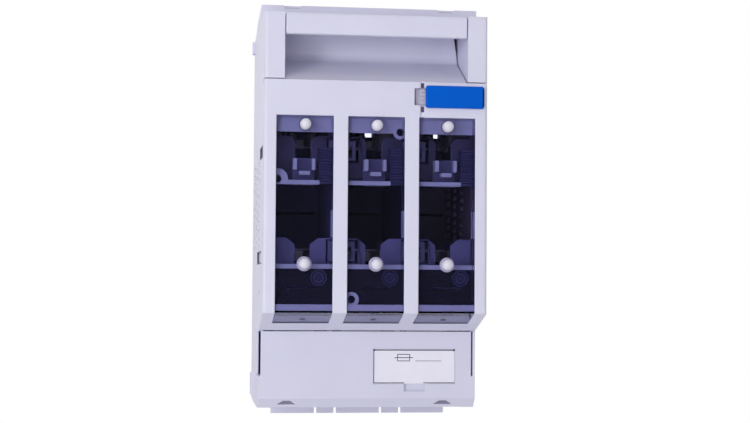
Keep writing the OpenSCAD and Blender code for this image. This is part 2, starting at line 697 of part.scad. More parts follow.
// A pillar that flanks the grip bar, flush with the lid's face and cored from behind
module pillar(low) intersection() {
  block([pillar_x, -lid_depth, low], [half_w, -recess_y, pillar_top]);
  translate([0, 0, low - 1]) linear_extrude(pillar_top) lid_plan();
  across(0, half_w) {
    rect([-lid_depth + pillar_r, low], [0, pillar_top]);
    rect([-lid_depth, low], [0, pillar_top - pillar_r]);
    translate([-lid_depth + pillar_r, pillar_top - pillar_r]) circle(pillar_r);
  }
}
pillar_r = 1.5;

module bottom_terminal_cover() color(housing_col) {
  high = lid_foot + lid_gap;
  slot_end = high + side_slot_l;
  side_x = half_w - wall / 2 - side_slot;
  strip_x = pole_x[2] + tray_x + seat_gap;
  e = end_line(1);
  difference() {
    mirror([0, 0, 1]) {
      across(-half_w, half_w) {
        polygon([[-cover_depth, slot_end], [-cover_depth, end_z(1, 0) - rim_bevel],
                 [-cover_depth + rim_bevel, end_z(1, 0)], e[1] - [seat_gap, 0], e[1] - [seat_gap, wall],
                 [-cover_depth + rim_bevel, end_z(1, 0) - wall],
                 [-cover_inner, end_z(1, 0) - rim_bevel - wall / 2], [-cover_inner, slot_end]]);
      }
      across(-half_w + left_gap, side_x) rect([-cover_depth, high], [-cover_inner, slot_end + eps]);
      across(strip_x, side_x) rect([-cover_depth, high], [-cover_split - seat_gap, slot_end + eps]);
      across(-frame_w, -strip_x) rect([-cover_depth, high], [-cover_split - seat_gap, slot_end + eps]);
      both_sides() across(half_w - wall, half_w)
        polygon([[-cover_depth, slot_end], [-cover_depth, end_z(1, 0) - rim_bevel],
                 [-cover_depth + rim_bevel, end_z(1, 0)], e[1] - [seat_gap, 0], [-cover_split - seat_gap, slot_end]]);
      both_sides() across(strip_x, half_w) rect([-cover_depth, slot_end], [-cover_split - seat_gap, slot_end + wall]);
    }
    cable_entries(1);
    facing(cover_depth + 1, label_y)
      translate([label_x, -label_z]) square([label_w, label_h], center = true);
    facing(cover_depth + 1, cover_depth - 1.4)
      rect([label_x - 5, -label_z - label_h / 2 - 3.6], [label_x + 5, -label_z]);
    for (s = [-1, 1]) facing(cover_depth + 1, cover_depth - 5) translate([s * (half_w - 14.8) - 0.9, 0])
      polygon([[-4.6, -end_z(1, 0) + 1.6], [4.6, -end_z(1, 0) + 1.6],
               [1.7, -end_z(1, 0) + 3.5], [-1.7, -end_z(1, 0) + 3.5]]);
  }
}

module label_card() color([0.90, 0.89, 0.94])
  facing(label_y + label_t, label_y) translate([label_x, -label_z])
    square([label_w - seat_gap, label_h - seat_gap], center = true);
label_y = cover_depth - label_t - label_sink;
label_x = half_w - label_side - label_w / 2;
label_z = bottom_rim - label_up - label_h / 2;

// Strip of five fingers that closes the cable side behind the entries
module cable_comb() color(housing_col) {
  gap = 1.3;
  root = comb_root;
  tip = bottom_rim + comb_out;
  facing(comb_y, comb_y - comb_t) difference() {
    rect([-comb_w, -tip], [comb_w, -root]);
    for (s = [-1, 1], x = [fix_x / 2 - 5.25, fix_x / 2 + 4.75]) rect([s * x - gap / 2, -tip - 1], [s * x + gap / 2, -bottom_rim - 0.2]);
  }
  facing(comb_y + 1.2, comb_y - comb_t - 1.2) rect([-comb_w, -end_z(1, 2) + wall + 0.1], [comb_w, -root]);
}
comb_root = end_z(1, 2) - wall - 2;
comb_w = half_w - 8.8;
comb_y = cover_split - 11.5;
comb_t = 1.6;

// Dark moulded tray that holds the contacts of one pole
module pole_tray(i) color(dark_col) translate([pole_x[i], 0, 0]) {
  high = end_z(0, 3) - wall + seat_gap;
  low = terminal_z(1) + 12;
  block_x = bar_w / 2 - 1;
  floor_y = back_t + seat_gap / 2;
  deep = tray_front;
  shelf = bar_face + 8;
  difference() {
    union() {
      block([-tray_x, -floor_y, -low], [tray_x, -floor_y - inner_t, high]);
      both_sides() across(tray_x - inner_t, tray_x)
        polygon([[-floor_y, -low], [-shelf, -low], [-shelf, -tray_low - 3], [-tray_step, -tray_low - 3],
                 [-tray_step, -tray_low], [-deep, -tray_low], [-deep, tray_high], [-shelf, tray_high],
                 [-shelf, high], [-floor_y, high]]);
      for (r = [0, 1]) row(r) {
        block([-block_x, -floor_y, terminal_z(r) - 11], [block_x, -bar_back, terminal_z(r) + 11]);
        block([-block_x, -floor_y, jaw_z(r) + 8], [block_x, -bar_back, jaw_z(r) + 18]);
      }
    }
    for (r = [0, 1]) row(r) {
      translate([0, 0, terminal_z(r)]) rotate([90, 0, 0]) translate([0, 0, 12])
        cylinder(r = terminal_r + 0.2, h = lid_depth);
      translate([0, 0, jaw_z(r) + 13]) rotate([90, 0, 0]) translate([0, 0, 16])
        cylinder(r = contact_r + 0.1, h = lid_depth);
    }
    block([-tray_x + inner_t + 1, -floor_y - inner_t + 1.2, -2], [tray_x - inner_t - 1, -lid_depth, -0.5]);
    peep(i, 0.4, floor_y + inner_t + 1);
    for (s = [-1, 1], t = [-1, 1]) translate([s * fix_x / 2 - pole_x[i], 0, t * fix_z / 2])
      rotate([90, 0, 0]) cylinder(r = boss_r + seat_gap, h = lid_depth);
    if (i != 1) mirror([i == 0 ? 1 : 0, 0, 0]) block([tray_x - inner_t - 1, -lid_depth, -hinge_z],
      [tray_x + 1, -hinge_y + lug_r + 1, disc_r + lid_gap + 8 - hinge_z]);
    if (i == 0) vents(-tray_x - 1, -tray_x + inner_t + 1, vent_first[0]);
    if (i == 2) vents(tray_x - inner_t - 1, tray_x + 1, vent_first[1]);
  }
}

// Cover of one contact: the plate has a slot for the fuse blade
module shroud(r, i) color(dark_col) translate([pole_x[i], 0, 0]) {
  out = shroud_x;
  cut = blade_slot / 2;
  top = r == 0 ? upper_jaw + 11.3 : -lower_jaw + 12.4;
  foot = r == 0 ? top - shroud_l : -tray_low;
  notch = upper_jaw - 4.3;
  side_cut = i == 0 ? [pitch / 2 - 4.65, out] : [-out, 8.55 - pitch / 2];
  difference() {
    union() {
      facing(shroud_y, shroud_y - inner_t) rect([-out, foot], [out, top]);
      both_sides() block([out - inner_t, -shroud_y, foot], [out, -back_t - inner_t - seat_gap / 2, top]);
    }
    facing(lid_depth, shroud_y - inner_t - 1) {
      if (r == 0) {
        rect([-cut, foot + 4], [cut, top - 3]);
        rect([-out - 1, notch], [out + 1, notch + 3.8]);
        for (s = [-1, 1]) translate([s * cut, notch]) mirror([s < 0 ? 1 : 0, 0]) round_off(3.9, 1, -1);
        rect([side_cut[0] - 1, notch - 12.4], [side_cut[1] + 1, notch - 0.8]);
      } else {
        rect([-cut, foot + 3], [cut, top + 1]);
        for (s = [-1, 1]) polygon([[0, top + 1], [0, top - 3], [s * cut, top - 3], [s * (cut + 3.9), top], [s * (cut + 3.9), top + 1]]);
        rect([side_cut[0] - 1, top - 11.5], [side_cut[1] + 1, top - 0.8]);
      }
    }
  }
  if (r == 1) apron(out);
}
// The lower shroud steps back below its plate to leave room for the lid
module apron(out) {
  apron_y = cover_depth - 6.7;
  facing(shroud_y, apron_y) rect([-out, -tray_low], [out, -tray_low + 1.5]);
  facing(apron_y + 1.6, apron_y) rect([-out, -tray_low - 18], [out, -tray_low + eps]);
}

// One bent copper contact: bar, two legs and flared mouth
module contact(r, i) color([0.80, 0.79, 0.77]) translate([pole_x[i], 0, 0]) row(r) {
  z0 = jaw_z(r) - jaw_l / 2;
  inner = jaw_gap / 2 + leg_t / 2;
  difference() {
    union() {
      block([-bar_w / 2, -bar_face, z0], [bar_w / 2, -bar_back, terminal_z(r) + 10]);
      translate([0, 0, z0]) linear_extrude(jaw_l) both_sides()
        strip([[bar_w / 2 - 1, -bar_face - leg_t / 2], [inner + 3.4, -bar_face - leg_t / 2],
               [inner + 2, -bar_face - 3], [inner + 1.8, -bar_face - jaw_h / 2], [inner, -bar_face - jaw_h + 9],
               [inner, -bar_face - jaw_h + 7], [inner + 2.6, -bar_face - jaw_h]], leg_t);
    }
    block([-bar_w / 2 + 3, -lid_depth, jaw_z(r) - finger_slot / 2], [bar_w / 2 - 2, 0, jaw_z(r) + finger_slot / 2]);
    translate([0, 0, terminal_z(r)]) rotate([90, 0, 0]) cylinder(r = terminal_r + 0.1, h = lid_depth);
    translate([0, 0, jaw_z(r) + 13]) rotate([90, 0, 0]) cylinder(r = contact_r + 0.1, h = lid_depth);
  }
}

// Steel ring that presses the two legs together
module jaw_spring(r, i) color([0.62, 0.62, 0.64]) translate([pole_x[i], 0, 0]) row(r) {
  a = jaw_gap / 2 + leg_t + 2 + seat_gap / 2;
  b = jaw_l / 2 + seat_gap / 2;
  translate([0, 0, jaw_z(r)]) facing(bar_face + 15, bar_face + 8) difference() {
    rect([-a - spring_t, -b - spring_t], [a + spring_t, b + spring_t]);
    rect([-a, -b], [a, b]);
  }
}

module terminal_clamp(r, i) color([0.66, 0.66, 0.68]) translate([pole_x[i], 0, 0]) row(r) difference() {
  z = terminal_z(r);
  out = bar_w / 2 - 1;
  union() {
    block([-out, -bar_face - 4.5, z - 8], [out, -bar_face - 2.5, z + 8]);
    both_sides() block([out - 2, -bar_face - 4, z - 8], [out, -bar_face, z + 8]);
  }
  translate([0, 0, z]) rotate([90, 0, 0]) cylinder(r = terminal_r + 0.1, h = lid_depth);
}

module terminal_screws() color([0.70, 0.70, 0.72]) for (r = [0, 1], x = pole_x)
  row(r) translate([x, 0, terminal_z(r)]) rotate([90, 0, 0]) {
    translate([0, 0, 14]) cylinder(r = terminal_r, h = bar_face - 8);
    translate([0, 0, bar_face + 4.5]) cylinder(r = 6.5, h = 5.3, $fn = 6);
  }

module contact_screws() color([0.70, 0.70, 0.72]) for (r = [0, 1], x = pole_x)
  row(r) translate([x, 0, jaw_z(r) + 13]) rotate([90, 0, 0]) difference() {
    union() {
      translate([0, 0, 18]) cylinder(r = contact_r, h = bar_face - 17);
      translate([0, 0, bar_face]) cylinder(r = 4.2, h = 2.6);
    }
    translate([0, 0, bar_face + 1.6]) cylinder(r = 2, h = 2, $fn = 6);
  }

// Toothed clips on the trays' front edges, seen through the shrouds' cut-outs
module partition_clips() color([0.75, 0.75, 0.80]) for (k = [0, 1], z = [-lower_jaw + 6.3, upper_jaw - 10.9])
  translate([[-1, 1][k] * pitch / 2, 0, z]) facing(tray_front + seat_gap + 1, tray_front + seat_gap) {
    left = k == 0 ? 4.4 : 3;
    difference() {
      rect([-left, -4.7], [8.3, 4.7]);
      rect([3.4, -3.4], [6.6, 2.2]);
    }
    for (t = [-2.8:1.5:1.7]) rect([3.3, t], [4.1, t + 0.7]);
  }

base_housing();
top_terminal_cover();
bottom_terminal_cover();
label_card();
cable_comb();
lid_shell();
fuse_carrier();
lock_slider();
lock_tab();
terminal_screws();
contact_screws();
partition_clips();
for (i = [0:2]) {
  pole_tray(i);
  window(i);
  fuse_grip(i);
  grip_plate(i);
  arc_chute(i);
  lower_panel(i);
  for (r = [0, 1]) {
    shroud(r, i);
    contact(r, i);
    jaw_spring(r, i);
    terminal_clamp(r, i);
    test_plug(r, i);
  }
}
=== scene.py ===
import math
import bpy
import bmesh
from mathutils import Matrix, Vector


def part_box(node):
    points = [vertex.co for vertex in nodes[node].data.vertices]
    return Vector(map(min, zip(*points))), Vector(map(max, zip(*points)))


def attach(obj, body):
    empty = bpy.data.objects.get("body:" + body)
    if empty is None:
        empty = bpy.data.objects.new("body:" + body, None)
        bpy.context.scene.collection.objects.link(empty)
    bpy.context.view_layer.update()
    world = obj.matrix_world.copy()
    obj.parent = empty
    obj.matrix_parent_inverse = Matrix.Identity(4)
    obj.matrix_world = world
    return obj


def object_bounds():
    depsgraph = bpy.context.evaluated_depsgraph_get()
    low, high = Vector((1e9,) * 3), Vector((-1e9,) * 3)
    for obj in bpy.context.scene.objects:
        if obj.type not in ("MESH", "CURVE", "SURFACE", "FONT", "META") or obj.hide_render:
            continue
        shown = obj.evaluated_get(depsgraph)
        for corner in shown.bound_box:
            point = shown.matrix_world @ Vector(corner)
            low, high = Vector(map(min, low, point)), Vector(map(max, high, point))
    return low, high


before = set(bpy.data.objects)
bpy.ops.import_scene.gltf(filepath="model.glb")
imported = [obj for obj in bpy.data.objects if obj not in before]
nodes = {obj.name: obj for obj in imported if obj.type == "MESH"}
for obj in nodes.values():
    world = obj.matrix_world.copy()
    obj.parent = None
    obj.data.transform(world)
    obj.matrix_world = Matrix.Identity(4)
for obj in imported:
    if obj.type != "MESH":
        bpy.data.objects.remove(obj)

cadBox = [list(corner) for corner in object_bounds()]
scene = bpy.context.scene
mm = 0.001
poleX = {"left": -33.7, "middle": 0.0, "right": 33.7}  # middles of the three poles, in mm as every size below
print("frame loaded:", len(nodes), "nodes")


def named(*starts):
    return [name for start in starts for name in sorted(nodes) if name.startswith(start)]


def frontOf(name):
    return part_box(name)[0][1] / mm  # the front looks along -Y


# Colours are written as sRGB hex and turned to linear here
def fromHex(code, alpha=1.0):
    parts = [int(code[i:i + 2], 16) / 255 for i in (0, 2, 4)]
    linear = [c / 12.92 if c <= 0.04045 else ((c + 0.055) / 1.055) ** 2.4 for c in parts]
    return (*linear, alpha)


def addNode(tree, kind, settings=None, links=None):
    node = tree.nodes.new(kind)
    for name, value in (settings or {}).items():
        if isinstance(name, int) or name in node.inputs:
            node.inputs[name].default_value = value
        else:
            setattr(node, name, value)
    for name, source in (links or {}).items():
        tree.links.new(source, node.inputs[name])
    return node


def newMaterial(name):
    material = bpy.data.materials.new(name)
    material.use_nodes = True
    tree = material.node_tree
    tree.nodes.clear()
    out = addNode(tree, "ShaderNodeOutputMaterial")
    place = addNode(tree, "ShaderNodeTexCoord").outputs["Object"]
    return material, tree, out, place


def perMillimetre(size):
    return 1 / (size * mm)  # noise scale whose features are this many millimetres across


# Moulded plastic: a slow colour drift, and a fine grain that makes the gloss slightly uneven
def mouldedPlastic(name, look):
    material, tree, out, place = newMaterial(name)
    drift = addNode(tree, "ShaderNodeTexNoise", {"Scale": perMillimetre(look["driftMm"]), "Detail": 3.0},
                    {"Vector": place})
    shade = addNode(tree, "ShaderNodeMix", {"data_type": "RGBA", 6: fromHex(look["dark"]), 7: fromHex(look["light"])},
                    {0: drift.outputs["Fac"]})
    grain = addNode(tree, "ShaderNodeTexNoise", {"Scale": perMillimetre(look["grainMm"]), "Detail": 2.0},
                    {"Vector": place})
    gloss = addNode(tree, "ShaderNodeMapRange", {"To Min": look["roughLow"], "To Max": look["roughHigh"]},
                    {"Value": grain.outputs["Fac"]})
    bump = addNode(tree, "ShaderNodeBump", {"Strength": look["bump"], "Distance": look["reliefMm"] * mm},
                   {"Height": grain.outputs["Fac"]})
    shader = addNode(tree, "ShaderNodeBsdfPrincipled", {"IOR": look["ior"], "Specular IOR Level": look["specular"]},
                     {"Base Color": shade.outputs[2], "Roughness": gloss.outputs["Result"],
                      "Normal": bump.outputs["Normal"]})
    tree.links.new(shader.outputs[0], out.inputs[0])
    return material


# ABS with a spark-eroded face: pale lavender grey, an even matt grain that spreads every highlight
housingLook = {"dark": "CDCCE1", "light": "D6D5E9",
               "driftMm": 22, "grainMm": 0.55,  # the real grain is about 0.15 mm, drawn coarser so that it shows
               "roughLow": 0.42, "roughHigh": 0.56, "bump": 0.25, "reliefMm": 0.05, "ior": 1.54, "specular": 0.5}
housingPlastic = mouldedPlastic("sparkFinishedAbsLavender", housingLook)
# The same moulding, a shade duller on the lower cover and greyer on the carrier inside the lid
coverLook = dict(housingLook, dark="CAC9DE", light="D2D1E5")
coverPlastic = mouldedPlastic("sparkFinishedAbsCover", coverLook)
carrierLook = dict(housingLook, dark="B1AFBE", light="BBBAC7")
carrierPlastic = mouldedPlastic("sparkFinishedAbsCarrier", carrierLook)
# Grey slider, worn a little smoother than the housing
sliderLook = dict(housingLook, dark="B4B2C6", light="BEBCCF", roughLow=0.38, roughHigh=0.5)
sliderPlastic = mouldedPlastic("sparkFinishedAbsSlider", sliderLook)
# Painted shade: darker copies of the housing for faces that lie in its own shade, behind the foot's notches and on the
# rims of the side pockets
housingShadeLook = dict(housingLook, dark="77738F", light="827E9A")
housingShadePlastic = mouldedPlastic("sparkFinishedAbsPaintedShade", housingShadeLook)
# Painted shade: a still darker copy for the rims in the side pockets
pocketShadeLook = dict(housingLook, dark="4A4660", light="56526C")
pocketShadePlastic = mouldedPlastic("paintedShadePocketRim", pocketShadeLook)
# Polyamide, moulded: dull grey with a violet cast, darkened as painted shade where the clips sit in shadow behind the
# panes
clipShadeLook = dict(housingLook, dark="6E6A8A", light="7C7897")
clipShadePlastic = mouldedPlastic("mouldedPolyamideClipPaintedShade", clipShadeLook)

# Glass-filled thermoset, compression moulded: dark violet, matt, with slow flow marks
thermosetLook = {"dark": "3A3558", "light": "464068", "driftMm": 9, "grainMm": 0.6,
                 "roughLow": 0.5, "roughHigh": 0.68, "bump": 0.3, "reliefMm": 0.06, "ior": 1.56, "specular": 0.45}
thermosetPlastic = mouldedPlastic("compressionMouldedThermoset", thermosetLook)
# The trays are dark thermoset, and their colours are also painted shade for the deep bays: the middle one nearly
# black, the right one browner
middleTrayShadeLook = dict(thermosetLook, dark="15122A", light="1D1934", specular=0.3)
middleTrayShadePlastic = mouldedPlastic("compressionMouldedTrayPaintedShadeMiddle", middleTrayShadeLook)
rightTrayShadeLook = dict(thermosetLook, dark="4C404C", light="584A56")
rightTrayShadePlastic = mouldedPlastic("compressionMouldedTrayPaintedShadeRight", rightTrayShadeLook)
# Hoods with a slightly smoother face; the lower ones are a paler copy, painted light where more light reaches them
hoodLook = dict(thermosetLook, dark="38304A", light="453B5B", roughLow=0.42, roughHigh=0.58)
hoodPlastic = mouldedPlastic("compressionMouldedHood", hoodLook)
lowHoodLitLook = dict(hoodLook, dark="605B7D", light="6E698E")
lowHoodLitPlastic = mouldedPlastic("compressionMouldedHoodPaintedLight", lowHoodLitLook)
# Louvred plates in deep violet, and flat panels in black that hardly mirror the windows
louvreLook = dict(thermosetLook, dark="2A2448", light="352E58")
louvrePlastic = mouldedPlastic("compressionMouldedArcPlate", louvreLook)
panelLook = dict(thermosetLook, dark="100D18", light="191523", specular=0.12)
panelPlastic = mouldedPlastic("smoothThermosetPanel", panelLook)
# Polyamide, moulded dark: the dull violet plate between two claws, darker than the claws partly as painted shade for
# its place deeper behind them
gripPlateShadeLook = dict(thermosetLook, dark="4C4766", light="585375")
gripPlateShadePlastic = mouldedPlastic("polyamideGripPlatePaintedShade", gripPlateShadeLook)
# Painted shade: black for gaps and slits where two dark mouldings meet and no light comes out
blackShadeLook = dict(thermosetLook, dark="050408", light="08070C", specular=0.1)
blackShadePlastic = mouldedPlastic("paintedShadeBlackGap", blackShadeLook)
# A pin's mark under the pane: a small dark disc, matt
markLook = dict(thermosetLook, dark="2A2640", light="36314E")
markPlastic = mouldedPlastic("ejectorMarkPolycarbonate", markLook)

# ABS from a polished tool in solid blue: hardly any grain; a navy copy is painted shade for the end that faces away
# from the light
tabLook = {"dark": "0056C2", "light": "005DCE", "driftMm": 12, "grainMm": 1.1,
           "roughLow": 0.3, "roughHigh": 0.36, "bump": 0.06, "reliefMm": 0.03, "ior": 1.54, "specular": 0.06}
tabPlastic = mouldedPlastic("glossAbsBlue", tabLook)
tabEndShadeLook = dict(tabLook, dark="06164A", light="0A1C58")
tabEndShadePlastic = mouldedPlastic("paintedShadeAbsBlue", tabEndShadeLook)
# Acetal, moulded smooth: milky white domes with a soft gloss, and a darker violet-grey copy for the face of the lower
# plugs' collars
plugLook = {"dark": "D2D0DF", "light": "DEDCE9", "driftMm": 3, "grainMm": 0.9,
            "roughLow": 0.22, "roughHigh": 0.3, "bump": 0.05, "reliefMm": 0.03, "ior": 1.48, "specular": 0.5}
plugPlastic = mouldedPlastic("mouldedAcetalPlug", plugLook)
collarLook = dict(plugLook, dark="9C98BE", light="A8A4C8")
collarPlastic = mouldedPlastic("darkerPlugCollar", collarLook)
# Painted shade: a dark violet copy for the groove round each upper dome
grooveShadeLook = dict(plugLook, dark="3C3960", light="48446C")
grooveShadePlastic = mouldedPlastic("paintedShadePlugGroove", grooveShadeLook)
# Coated card: flat white with the paper's fibre just visible
cardLook = {"dark": "E2E0EE", "light": "EAE8F4", "driftMm": 6, "grainMm": 0.5,
            "roughLow": 0.5, "roughHigh": 0.62, "bump": 0.12, "reliefMm": 0.02, "ior": 1.47, "specular": 0.4}
labelCard = mouldedPlastic("coatedCard", cardLook)
# Pad-printed ink: flat blue-black. A paler copy is painted shade, for the gaps round the card, along the rim notches
# and in the lock's guide groove
inkLook = {"dark": "2B2A3A", "light": "383748", "driftMm": 2, "grainMm": 0.5,
           "roughLow": 0.55, "roughHigh": 0.65, "bump": 0.05, "reliefMm": 0.01, "ior": 1.5, "specular": 0.4}
printInk = mouldedPlastic("padPrintedInk", inkLook)
gapShadeLook = dict(inkLook, dark="3A3650", light="474360")
gapShadeMaterial = mouldedPlastic("paintedShadeGap", gapShadeLook)


# Metal strip or wire: fine streaks along one way and slight tarnish in patches
def workedMetal(name, look):
    material, tree, out, place = newMaterial(name)
    tarnish = addNode(tree, "ShaderNodeTexNoise", {"Scale": perMillimetre(look["patchMm"]), "Detail": 4.0},
                      {"Vector": place})
    shade = addNode(tree, "ShaderNodeMix", {"data_type": "RGBA", 6: fromHex(look["dull"]), 7: fromHex(look["bright"])},
                    {0: tarnish.outputs["Fac"]})
    stretch = addNode(tree, "ShaderNodeMapping", {"Scale": look["streak"]}, {"Vector": place})
    streaks = addNode(tree, "ShaderNodeTexNoise", {"Scale": perMillimetre(look["streakMm"]), "Detail": 2.0},
                      {"Vector": stretch.outputs[0]})
    gloss = addNode(tree, "ShaderNodeMapRange", {"To Min": look["roughLow"], "To Max": look["roughHigh"]},
                    {"Value": streaks.outputs["Fac"]})
    bump = addNode(tree, "ShaderNodeBump", {"Strength": look["bump"], "Distance": look["reliefMm"] * mm},
                   {"Height": streaks.outputs["Fac"]})
    shader = addNode(tree, "ShaderNodeBsdfPrincipled", {"Metallic": 1.0},
                     {"Base Color": shade.outputs[2], "Roughness": gloss.outputs["Result"],
                      "Normal": bump.outputs["Normal"]})
    tree.links.new(shader.outputs[0], out.inputs[0])
    return material


# Silver plate on rolled copper: warm white satin, streaked along the blades
silverLook = {"dull": "B9B4AA", "bright": "DAD6CC", "patchMm": 6, "streak": (1, 1, 0.12), "streakMm": 0.7,
              "roughLow": 0.26, "roughHigh": 0.42, "bump": 0.15, "reliefMm": 0.02}
silveredCopper = workedMetal("silverPlatedCopperStrip", silverLook)
# Bright zinc plate on turned and pressed steel: cool and fairly shiny
zincLook = {"dull": "B4B6BC", "bright": "D0D1D6", "patchMm": 4, "streak": (1, 0.3, 1), "streakMm": 0.8,
            "roughLow": 0.22, "roughHigh": 0.38, "bump": 0.15, "reliefMm": 0.02}
zincSteel = workedMetal("brightZincPlatedSteel", zincLook)
# Tempered spring strip: darker steel grey
springLook = {"dull": "7B7C82", "bright": "9A9BA1", "patchMm": 5, "streak": (0.2, 1, 1), "streakMm": 0.6,
              "roughLow": 0.28, "roughHigh": 0.4, "bump": 0.15, "reliefMm": 0.02}
springSteel = workedMetal("temperedSpringStrip", springLook)


# Smoked polycarbonate, moulded and polished: clear, a violet-grey tint and weak mirror images of the room
def smokedPane(name, look):
    material, tree, out, place = newMaterial(name)
    waves = addNode(tree, "ShaderNodeTexNoise", {"Scale": perMillimetre(look["waveMm"]), "Detail": 1.0},
                    {"Vector": place})
    bump = addNode(tree, "ShaderNodeBump", {"Strength": look["bump"], "Distance": look["reliefMm"] * mm},
                   {"Height": waves.outputs["Fac"]})
    pane = addNode(tree, "ShaderNodeBsdfPrincipled",
                   {"Base Color": fromHex(look["tint"]), "Roughness": look["rough"], "IOR": look["ior"],
                    "Specular Tint": fromHex(look["mirror"]), "Transmission Weight": 1.0},
                   {"Normal": bump.outputs["Normal"]})
    oneFace = tuple(math.sqrt(c) for c in fromHex(look["tint"]))  # a ray crosses two faces of the sheet
    clear = addNode(tree, "ShaderNodeBsdfTransparent", {"Color": oneFace})
    ray = addNode(tree, "ShaderNodeLightPath")
    both = addNode(tree, "ShaderNodeMixShader", None,
                   {0: ray.outputs["Is Shadow Ray"], 1: pane.outputs[0], 2: clear.outputs[0]})
    tree.links.new(both.outputs[0], out.inputs[0])
    return material


paneLook = {"tint": "BEBFDE", "mirror": "454556", "rough": 0.008, "ior": 1.585,
            "waveMm": 14, "bump": 0.01, "reliefMm": 0.02}
smokedPolycarbonate = smokedPane("smokedPolycarbonate", paneLook)
print("materials made")


def dress(names, material):
    for name in names:
        shape = nodes[name]
        shape.data.materials.clear()
        shape.data.materials.append(material)


dress(["base_housing", "top_terminal_cover", "cable_comb", "lid_shell"], housingPlastic)
dress(["bottom_terminal_cover"], coverPlastic)
dress(["fuse_carrier"] + named("fuse_grip"), carrierPlastic)
dress(["lock_slider"], sliderPlastic)
dress(["lock_tab"], tabPlastic)
dress(["label_card"], labelCard)
dress(["partition_clips"], clipShadePlastic)
dress(["pole_tray_left"], thermosetPlastic)
dress(["pole_tray_middle"], middleTrayShadePlastic)
dress(["pole_tray_right"], rightTrayShadePlastic)
dress(named("upper_shroud"), hoodPlastic)
dress(named("lower_shroud"), lowHoodLitPlastic)
dress(named("lower_panel"), panelPlastic)
dress(named("grip_plate"), gripPlateShadePlastic)
dress(named("arc_chute"), louvrePlastic)
dress(named("window"), smokedPolycarbonate)
dress(named("upper_test_plug", "lower_test_plug"), plugPlastic)
dress(named("upper_contact", "lower_contact"), silveredCopper)
dress(named("upper_jaw", "lower_jaw"), springSteel)
dress(named("terminal_screws", "contact_screws", "upper_terminal", "lower_terminal"), zincSteel)

# Moulded pieces have no knife edges: each gets the radius that its tool leaves
edgeRadius = {"lid_shell": 0.35, "top_terminal_cover": 0.1, "bottom_terminal_cover": 0.4, "base_housing": 0.35,
              "fuse_carrier": 0.25, "lock_tab": 0.3, "lock_slider": 0.2, "cable_comb": 0.25, "label_card": 0.08}
groupRadius = {"upper_shroud": 0.7, "lower_shroud": 0.22, "arc_chute": 0.18, "fuse_grip": 0.3, "grip_plate": 0.15,
               "lower_panel": 0.2, "upper_contact": 0.2, "lower_contact": 0.2}
edgeFinish = {"weldMm": 0.002, "flatDegrees": 1.5, "sharpDegrees": 35, "segments": 2,
              "unclamped": ["lid_shell"]}  # one sliver in the lid would shrink its radius to nothing


def softenEdges(shape, radius, p):
    weld = shape.modifiers.new("weldSeams", "WELD")
    weld.merge_threshold = p["weldMm"] * mm
    flat = shape.modifiers.new("flatFaces", "DECIMATE")
    flat.decimate_type = "DISSOLVE"
    flat.angle_limit = math.radians(p["flatDegrees"])
    edge = shape.modifiers.new("mouldRadius", "BEVEL")
    edge.width = radius * mm
    edge.segments = p["segments"]
    edge.limit_method = "ANGLE"
    edge.angle_limit = math.radians(p["sharpDegrees"])
    edge.use_clamp_overlap = shape.name not in p["unclamped"]
    edge.harden_normals = False
    smooth = shape.modifiers.new("evenShading", "WEIGHTED_NORMAL")
    smooth.keep_sharp = True


for start, radius in groupRadius.items():
    for name in named(start):
        edgeRadius[name] = radius
for name, radius in edgeRadius.items():
    softenEdges(nodes[name], radius, edgeFinish)
print("nodes dressed")


# Small pieces: a body to ride on, a material slot of the record, and a mesh that sits in the frame's place
def finishPiece(name, mesh, body, material):
    data = bpy.data.meshes.new(name)
    mesh.to_mesh(data)
    mesh.free()
    data.materials.append(material)
    piece = bpy.data.objects.new(name, data)
    scene.collection.objects.link(piece)
    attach(piece, body)


def addBar(mesh, x, y, z):
    low, high = (Vector((x[end] * mm, y[end] * mm, z[end] * mm)) for end in (0, 1))
    made = bmesh.ops.create_cube(mesh, size=1.0)
    bmesh.ops.scale(mesh, vec=high - low, verts=made["verts"])
    bmesh.ops.translate(mesh, vec=(low + high) / 2, verts=made["verts"])


def addDisc(mesh, place, radius, depth, turnX, segments):
    turn = Matrix.Translation(Vector(place) * mm) @ Matrix.Rotation(turnX, 4, "X")
    bmesh.ops.create_cone(mesh, cap_ends=True, cap_tris=False, segments=segments, radius1=radius * mm,
                          radius2=radius * mm, depth=depth * mm, matrix=turn)


# A flat ring about Y, spun from its section; radii are (inner, outer) and y is (front, back)
def addRing(mesh, centre, radii, y, steps=48):
    corners = [mesh.verts.new(((centre[0] + radii[i]) * mm, y[j] * mm, centre[1] * mm))
               for i, j in ((0, 1), (0, 0), (1, 0), (1, 1))]
    edges = [mesh.edges.new((corners[i], corners[(i + 1) % 4])) for i in range(4)]
    bmesh.ops.spin(mesh, geom=corners + edges, cent=(centre[0] * mm, 0, centre[1] * mm), axis=(0, 1, 0),
                   angle=math.radians(360), steps=steps, use_merge=True)


# Printing on the label card: a fuse sign and a line to write on
cardPrint = {"signLeft": 13.3, "signRight": 22.4, "boxLeft": 14.9, "boxRight": 20.8, "signZ": -73.3, "boxHeight": 3.2,
             "lineLeft": 23.7, "lineRight": 36.4, "lineZ": -74.9, "stroke": 0.35, "proud": 0.03}


